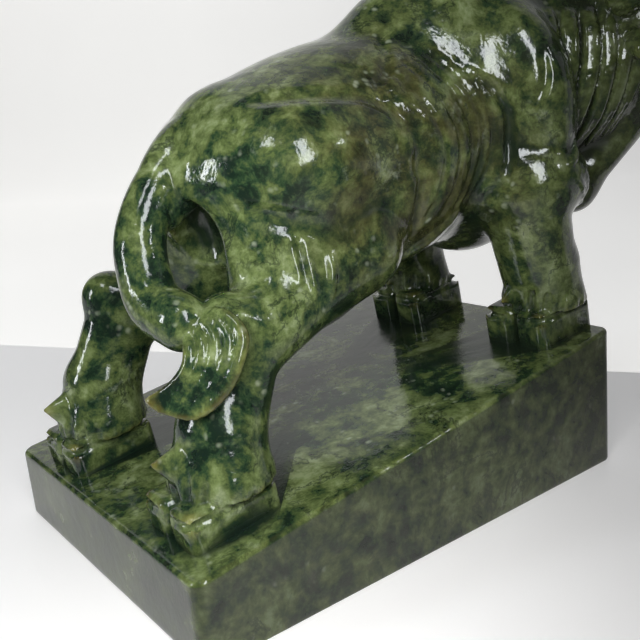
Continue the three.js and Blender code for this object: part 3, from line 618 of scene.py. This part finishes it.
def stone_about(stone, places, radii):
    """The share of a ball about each place that is stone, read at 26 spots on each of its spheres.
    It is near a half on a flat face, less on a thin edge and more in a recess."""
    golden = math.pi * (3 - math.sqrt(5))
    n = np.arange(26)
    z = 1 - 2 * (n + 0.5) / 26
    ring = np.sqrt(1 - z * z)
    ball = np.stack([ring * np.cos(golden * n), ring * np.sin(golden * n), z], axis=1)
    held = np.zeros(len(places))
    for radius in radii:
        for way in ball:
            spot = places + way * radius
            held += (stone.read(spot) < 0) | plinth_holds(spot)
    return held / (26 * len(radii))


def plinth_holds(places):
    """Whether places in the bull's frame are inside the plinth."""
    xyz = to_frame(places) / MILLIMETRE
    inside = (np.abs(xyz[:, 0]) < PLINTH_LENGTH / 2) & (np.abs(xyz[:, 1]) < PLINTH_WIDTH / 2)
    return inside & (places[:, 2] < 0) & (xyz[:, 2] > 0)


def jade_bull(stone):
    """The carving's surface, smoothed, thinned and joined to the plinth, with two values at each
    corner: how thin the stone is there, and how far it lies in a recess."""
    points, faces = surface_of(stone)
    bull = mesh_object("carved_jade_bull", to_frame(points), faces)
    soften = bull.modifiers.new("polish", "SMOOTH")
    soften.factor, soften.iterations = 0.6, 1
    thin = bull.modifiers.new("facets", "DECIMATE")
    thin.ratio = BULL_FACETS / len(bull.data.polygons)
    finished(bull)
    plinth = plinth_object()
    join = bull.modifiers.new("one_block", "BOOLEAN")
    join.operation, join.solver, join.object = "UNION", "MANIFOLD", plinth
    finished(bull)
    bpy.data.objects.remove(plinth)
    mesh = bull.data
    mesh.shade_smooth()
    mesh.set_sharp_from_angle(angle=math.radians(40))
    corners = np.empty(len(mesh.vertices) * 3, np.float32)
    mesh.vertices.foreach_get("co", corners)
    places = to_bull(corners.reshape(-1, 3).astype(float))
    # Both values serve painted light in the jade: thinness for a glow on thin edges and for shade in
    # creases, recess for shade in hollows.
    for name, radii in (("thinness", (1.6, 3.4)), ("recess", (7.0, 13.0))):
        held = stone_about(stone, places, radii)
        values = 1 - 2 * held if name == "thinness" else 2 * held - 1
        kept = mesh.attributes.new(name, "FLOAT", "POINT")
        kept.data.foreach_set("value", values.astype(np.float32))
    return bull


class Finish:
    """A material's node tree, with short calls that add a node and join its inputs."""

    def __init__(self, name):
        self.material = bpy.data.materials.new(name)
        self.material.use_nodes = True
        self.tree = self.material.node_tree
        self.tree.nodes.clear()
        self.place = self.add("ShaderNodeTexCoord").outputs["Object"]

    def add(self, kind, inputs=None, **settings):
        """A new node, with what joins or sets its inputs and its own settings."""
        node = self.tree.nodes.new(kind)
        for key, value in settings.items():
            setattr(node, key, value)
        for key, value in (inputs or {}).items():
            self.join(value, node.inputs[key])
        return node

    def join(self, value, socket):
        """Link an output to a socket, or set a plain value on it."""
        if isinstance(value, bpy.types.NodeSocket):
            self.tree.links.new(value, socket)
        else:
            socket.default_value = value

    def math(self, operation, a, b=0.0):
        """A sum on one or two values."""
        node = self.add("ShaderNodeMath", operation=operation)
        self.join(a, node.inputs[0])
        self.join(b, node.inputs[1])
        return node.outputs[0]

    def noise(self, scale, detail=4.0, roughness=0.55, distortion=0.0, place=None):
        """Cloudy noise about a half, with scale in waves to the metre."""
        inputs = {"Scale": scale, "Detail": detail, "Roughness": roughness, "Distortion": distortion}
        inputs["Vector"] = place or self.place
        return self.add("ShaderNodeTexNoise", inputs).outputs["Fac"]

    def band(self, value, low, high):
        """0 below low, 1 above high, and smooth between them."""
        inputs = {"Value": value, "From Min": low, "From Max": high}
        return self.add("ShaderNodeMapRange", inputs, interpolation_type="SMOOTHSTEP").outputs[0]

    def mix(self, factor, a, b):
        """From colour a to colour b by a factor."""
        node = self.add("ShaderNodeMix", data_type="RGBA")
        self.join(factor, node.inputs[0])
        for value, socket in ((a, node.inputs[6]), (b, node.inputs[7])):
            self.join(value if isinstance(value, bpy.types.NodeSocket) else (*value, 1.0), socket)
        return node.outputs[2]

    def ramp(self, value, stops):
        """A colour from a value, by stops of a position and a colour."""
        node = self.add("ShaderNodeValToRGB", {"Fac": value})
        marks = node.color_ramp.elements
        while len(marks) < len(stops):
            marks.new(0.5)
        for mark, (position, colour) in zip(marks, stops):
            mark.position = position
            mark.color = (*colour, 1.0)
        return node.outputs["Color"]

    def end(self, shader):
        """Close the tree with its shader and give the material."""
        self.add("ShaderNodeOutputMaterial", {"Surface": shader})
        return self.material


DEEP = (0.007, 0.016, 0.010)
BOTTLE = (0.018, 0.040, 0.018)
OLIVE = (0.060, 0.085, 0.028)
LEAF = (0.108, 0.145, 0.052)
PALE = (0.200, 0.250, 0.125)
CLOUD = (0.340, 0.390, 0.290)
AMBER = (0.230, 0.190, 0.036)
UMBER = (0.014, 0.015, 0.006)
BRONZE = (0.046, 0.045, 0.016)
KHAKI = (0.100, 0.098, 0.036)
SOOT = (0.006, 0.007, 0.004)
SLATE = (0.015, 0.017, 0.010)
STEEL = (0.032, 0.033, 0.020)
ASH = (0.095, 0.096, 0.068)


def polished_jade():
    """Serpentine jade: blotches of green on a warped noise, dark veins where a second noise
    crosses its middle, pale flecks in the cells of a fine pattern, bronze on the flank, and amber
    where the stone is thin, a painted glow of light through it. Painted shade makes it near black
    in creases and recesses and darkens it to the front, and the plinth's sides are lapped duller
    and greyer."""
    f = Finish("polished_jade")
    warp = f.add("ShaderNodeTexNoise", {"Vector": f.place, "Scale": 60.0, "Detail": 3.0}).outputs["Color"]
    bend = f.add("ShaderNodeVectorMath", {0: warp, 1: (0.5, 0.5, 0.5)}, operation="SUBTRACT").outputs[0]
    push = f.add("ShaderNodeVectorMath", {0: bend}, operation="SCALE")
    push.inputs["Scale"].default_value = 0.007
    place = f.add("ShaderNodeVectorMath", {0: f.place, 1: push.outputs[0]}, operation="ADD").outputs[0]

    blotches = f.noise(180.0, 8.0, 0.68, 0.1, place)
    patches = f.noise(50.0, 3.0, 0.5, 0.1, place)
    body = f.math("ADD", f.math("MULTIPLY", blotches, 0.70), f.math("MULTIPLY", patches, 0.40))
    stops = ((0.455, DEEP), (0.50, BOTTLE), (0.555, OLIVE), (0.61, LEAF), (0.70, PALE))
    green = f.ramp(body, stops)

    flank = f.add("ShaderNodeVectorMath", {0: f.place, 1: (0.012, -0.036, 0.092)}, operation="DISTANCE")
    bronze_here = f.math("SUBTRACT", 1.0, f.band(flank.outputs["Value"], 0.018, 0.048))
    bronze_here = f.math("MULTIPLY", bronze_here, f.band(f.noise(80.0, 5.0, 0.6, 0.0, place), 0.32, 0.6))
    bronze = f.ramp(blotches, ((0.32, UMBER), (0.5, BRONZE), (0.68, KHAKI)))
    green = f.mix(f.math("MULTIPLY", bronze_here, 0.85), green, bronze)

    crossing = f.math("ABSOLUTE", f.math("SUBTRACT", f.noise(75.0, 9.0, 0.68, 0.3, place), 0.5))
    vein = f.math("SUBTRACT", 1.0, f.band(crossing, 0.003, 0.03))
    vein = f.math("MULTIPLY", vein, f.band(f.noise(48.0, 2.0), 0.42, 0.62))
    green = f.mix(f.math("MULTIPLY", vein, 0.7), green, DEEP)

    cells = f.add("ShaderNodeTexVoronoi", {"Vector": place, "Scale": 330.0, "Randomness": 1.0})
    fleck = f.math("SUBTRACT", 1.0, f.band(cells.outputs["Distance"], 0.10, 0.36))
    fleck = f.math("MULTIPLY", fleck, f.band(f.noise(120.0, 3.0, 0.6), 0.53, 0.68))
    green = f.mix(f.math("MULTIPLY", fleck, 0.5), green, CLOUD)
    milk = f.band(f.noise(95.0, 8.0, 0.72, 0.1, place), 0.60, 0.76)
    green = f.mix(f.math("MULTIPLY", milk, 0.45), green, CLOUD)
    green = f.mix(f.math("MULTIPLY", f.band(f.noise(1000.0, 3.0, 0.6), 0.54, 0.74), 0.2), green, LEAF)

    thin = f.add("ShaderNodeAttribute", attribute_name="thinness").outputs["Fac"]
    # Painted glow: amber where the stone is thin stands in for light shining through it.
    edge = f.band(thin, 0.22, 0.8)
    green = f.mix(f.math("MULTIPLY", edge, 0.4), green, AMBER)
    # Painted shade: near black in fine creases where the stone closes round; the same mask also makes the
    # creases rougher further down.
    crease = f.math("SUBTRACT", 1.0, f.band(thin, -0.5, -0.06))
    green = f.mix(f.math("MULTIPLY", crease, 0.75), green, DEEP)
    # Painted shade: near black deep in recesses, such as the hollow between the buttocks.
    recess = f.band(f.add("ShaderNodeAttribute", attribute_name="recess").outputs["Fac"], 0.03, 0.32)
    green = f.mix(f.math("MULTIPLY", recess, 0.9), green, DEEP)

    x_y_z = f.add("ShaderNodeSeparateXYZ", {"Vector": f.place})
    # Painted shade: the stone is darkened towards the front, over the neck, shoulders and forelegs.
    green = f.mix(f.math("MULTIPLY", f.band(x_y_z.outputs["X"], 0.02, 0.08), 0.62), green, UMBER)
    rise = f.math("MULTIPLY", x_y_z.outputs["X"], math.tan(PLINTH_SLOPE))
    over = f.math("SUBTRACT", x_y_z.outputs["Z"], rise)
    middle = PLINTH_MIDDLE_HEIGHT * MILLIMETRE
    lapped = f.math("SUBTRACT", 1.0, f.band(over, middle - 0.0012, middle - 0.0006))
    side_stops = ((0.30, SOOT), (0.46, SLATE), (0.60, STEEL), (0.75, ASH))
    side_stone = f.mix(0.4, f.ramp(f.noise(120.0, 8.0, 0.68, 0.1, place), side_stops), green)
    colour = f.mix(lapped, green, side_stone)
    on_plinth = f.math("SUBTRACT", 1.0, f.band(over, middle + 0.0002, middle + 0.0012))

    rough = f.math("ADD", f.math("MULTIPLY", f.noise(150.0, 5.0, 0.6), 0.15), 0.04)
    rough = f.math("MULTIPLY", rough, f.math("SUBTRACT", 1.0, f.math("MULTIPLY", on_plinth, 0.5)))
    rough = f.math("ADD", rough, f.math("MULTIPLY", lapped, 0.14))
    rough = f.math("ADD", rough, f.math("MULTIPLY", crease, 0.2))

    less_on_plinth = f.math("SUBTRACT", 1.0, f.math("MULTIPLY", on_plinth, 0.7))
    swell = f.math("MULTIPLY", f.noise(170.0, 3.0, 0.5), less_on_plinth)
    wave = f.add("ShaderNodeBump", {"Height": swell, "Strength": 0.25, "Distance": 0.0012})
    marks = {"Height": f.noise(1400.0, 2.0, 0.5), "Strength": 0.10, "Distance": 0.0003}
    fine = f.add("ShaderNodeBump", {**marks, "Normal": wave.outputs[0]})
    finish = {"Base Color": colour, "Roughness": rough, "Normal": fine.outputs[0]}
    shader = f.add("ShaderNodeBsdfPrincipled", finish)
    shader.inputs["IOR"].default_value = 1.45
    shader.inputs["Subsurface Weight"].default_value = 0.08
    shader.inputs["Subsurface Radius"].default_value = (0.6, 1.0, 0.3)
    shader.inputs["Subsurface Scale"].default_value = 0.002
    return f.end(shader.outputs[0])


def pale(name, colour, roughness, glow, grey, fades):
    """A plain pale surface; glow is painted light that the surface gives off itself. Each fade is a
    way over the ground and two distances along it, between which the surface turns to the grey,
    as painted shade."""
    f = Finish(name)
    r, g, b = colour
    shade = f.ramp(f.noise(3.0, 2.0), ((0.3, (r * 0.97, g * 0.97, b * 0.97)), (0.7, colour)))
    faded = 0.0
    for way, near, far in fades:
        along = f.add("ShaderNodeVectorMath", {0: f.place, 1: (*way, 0.0)}, operation="DOT_PRODUCT")
        faded = f.math("MAXIMUM", faded, f.band(along.outputs["Value"], near, far))
    shade = f.mix(faded, shade, (grey, grey, grey * 1.02))
    shader = f.add("ShaderNodeBsdfPrincipled", {"Base Color": shade, "Emission Color": shade})
    shader.inputs["Roughness"].default_value = roughness
    shader.inputs["Emission Strength"].default_value = glow
    return f.end(shader.outputs[0])


def table_and_wall():
    """A plain tabletop that ends a little behind the figure, and beyond its edge a paper sweep
    that runs on level and then turns up into the wall behind."""
    away = np.array([0.877, 0.481])
    across = np.array([away[1], -away[0]])
    edge, far, turn, wide = 0.1112, 0.75, 0.45, 3.0

    def strip(name, rows, material):
        points = [[*(away * a + across * b), z] for a, z in rows for b in (-wide, wide)]
        n = 2 * np.arange(len(rows) - 1)
        faces = np.stack([n, n + 1, n + 3, n + 2], axis=1)[:, ::-1]
        sheet = mesh_object(name, np.array(points), faces)
        sheet.data.shade_smooth()
        sheet.data.materials.append(material)
        return sheet
    # Painted shade: the tabletop turns dark grey towards the camera and towards the right.
    fades = (((-0.707, -0.707), 0.07, 0.15), ((0.55, -0.84), 0.0, 0.20))
    top = pale("pale_tabletop", (0.82, 0.82, 0.83), 0.5, 0.36, 0.12, fades)
    table = strip("tabletop", [(-2.2, 0.0), (edge, 0.0)], top)
    turning = np.linspace(0, math.pi / 2, 24)
    bend = [(far + turn * math.sin(t), turn * (1 - math.cos(t)) - 0.002) for t in turning]
    rows = [(edge - 0.01, -0.002), *bend, (far + turn, 3.0)]
    # Painted shade: the paper turns grey towards the right, where less light falls.
    paper = pale("pale_paper", (0.88, 0.875, 0.86), 0.9, 0.68, 0.36, (((0.79, -0.605), -0.3, 1.1),))
    sweep = strip("paper_sweep", rows, paper)


def softbox(name, way, distance, size, watts, colour, seen=True, lights=True):
    """A soft light that hangs out in a direction from the figure and faces it. One that isn't
    seen lights the stone but leaves no reflection on the polish and is not in any picture. One
    that doesn't light leaves only its reflection."""
    light = bpy.data.lights.new(name, "AREA")
    light.shape, light.size, light.size_y = "RECTANGLE", *size
    light.energy, light.color = watts, colour
    lamp = bpy.data.objects.new(name, light)
    way = Vector(way).normalized()
    lamp.location = Vector((0.0, 0.0, 0.07)) + way * distance
    lamp.rotation_mode = "QUATERNION"
    lamp.rotation_quaternion = way.to_track_quat("Z", "Y")
    lamp.visible_glossy = lamp.visible_camera = seen
    lamp.visible_diffuse = lights
    bpy.context.scene.collection.objects.link(lamp)


def studio_light():
    """Windows that show on the polish, two lamps that don't, and a dim room."""
    cool, warm = (0.93, 0.97, 1.0), (1.0, 0.98, 0.95)
    softbox("window_right_of_camera", (0.47, -0.73, 0.49), 1.1, (0.05, 0.09), 0.6, cool)
    softbox("tall_window", (-0.13, -0.80, 0.57), 1.1, (0.24, 0.90), 11.0, cool, lights=False)
    softbox("window_high_left", (-0.40, -0.25, 0.88), 1.1, (0.16, 0.20), 1.5, cool, lights=False)
    softbox("window_left", (-0.90, 0.30, 0.30), 1.0, (0.10, 0.4), 3.0, cool)
    softbox("lamp_by_the_camera", (-0.60, -0.72, 0.33), 0.19, (0.10, 0.10), 0.42, warm, seen=False)
    softbox("ceiling", (-0.1, 0.1, 1.0), 1.3, (0.9, 0.9), 0.7, warm, seen=False)
    world = bpy.data.worlds.new("room")
    world.use_nodes = True
    ground = world.node_tree.nodes["Background"]
    ground.inputs["Color"].default_value = (0.80, 0.82, 0.85, 1.0)
    ground.inputs["Strength"].default_value = 0.04
    bpy.context.scene.world = world


CAMERA_PLACE = (-0.128986, -0.184152, 0.107033)
CAMERA_RIGHT = (0.7909, -0.6050, -0.0919)
CAMERA_UP = (0.2241, 0.1466, 0.9635)
CAMERA_BACK = (-0.5694, -0.7826, 0.2515)
CAMERA_LENS = 47.81
CAMERA_SENSOR = 36.0


def photograph_camera():
    """The camera stands behind the bull's right side, close, and a little above the plinth."""
    data = bpy.data.cameras.new("photograph")
    data.sensor_width = CAMERA_SENSOR
    data.lens = CAMERA_LENS
    data.clip_start, data.clip_end = 0.01, 20.0
    camera = bpy.data.objects.new("photograph", data)
    turn = Matrix((CAMERA_RIGHT, CAMERA_UP, CAMERA_BACK)).transposed().to_4x4()
    camera.matrix_world = Matrix.Translation(CAMERA_PLACE) @ turn
    bpy.context.scene.collection.objects.link(camera)
    bpy.context.scene.camera = camera
    bpy.context.scene.view_settings.view_transform = "Standard"


photograph_camera()
studio_light()
table_and_wall()
piece = jade_bull(carved_bull())
piece.data.materials.clear()
piece.data.materials.append(polished_jade())
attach(piece, "root")
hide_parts("jade_bull")
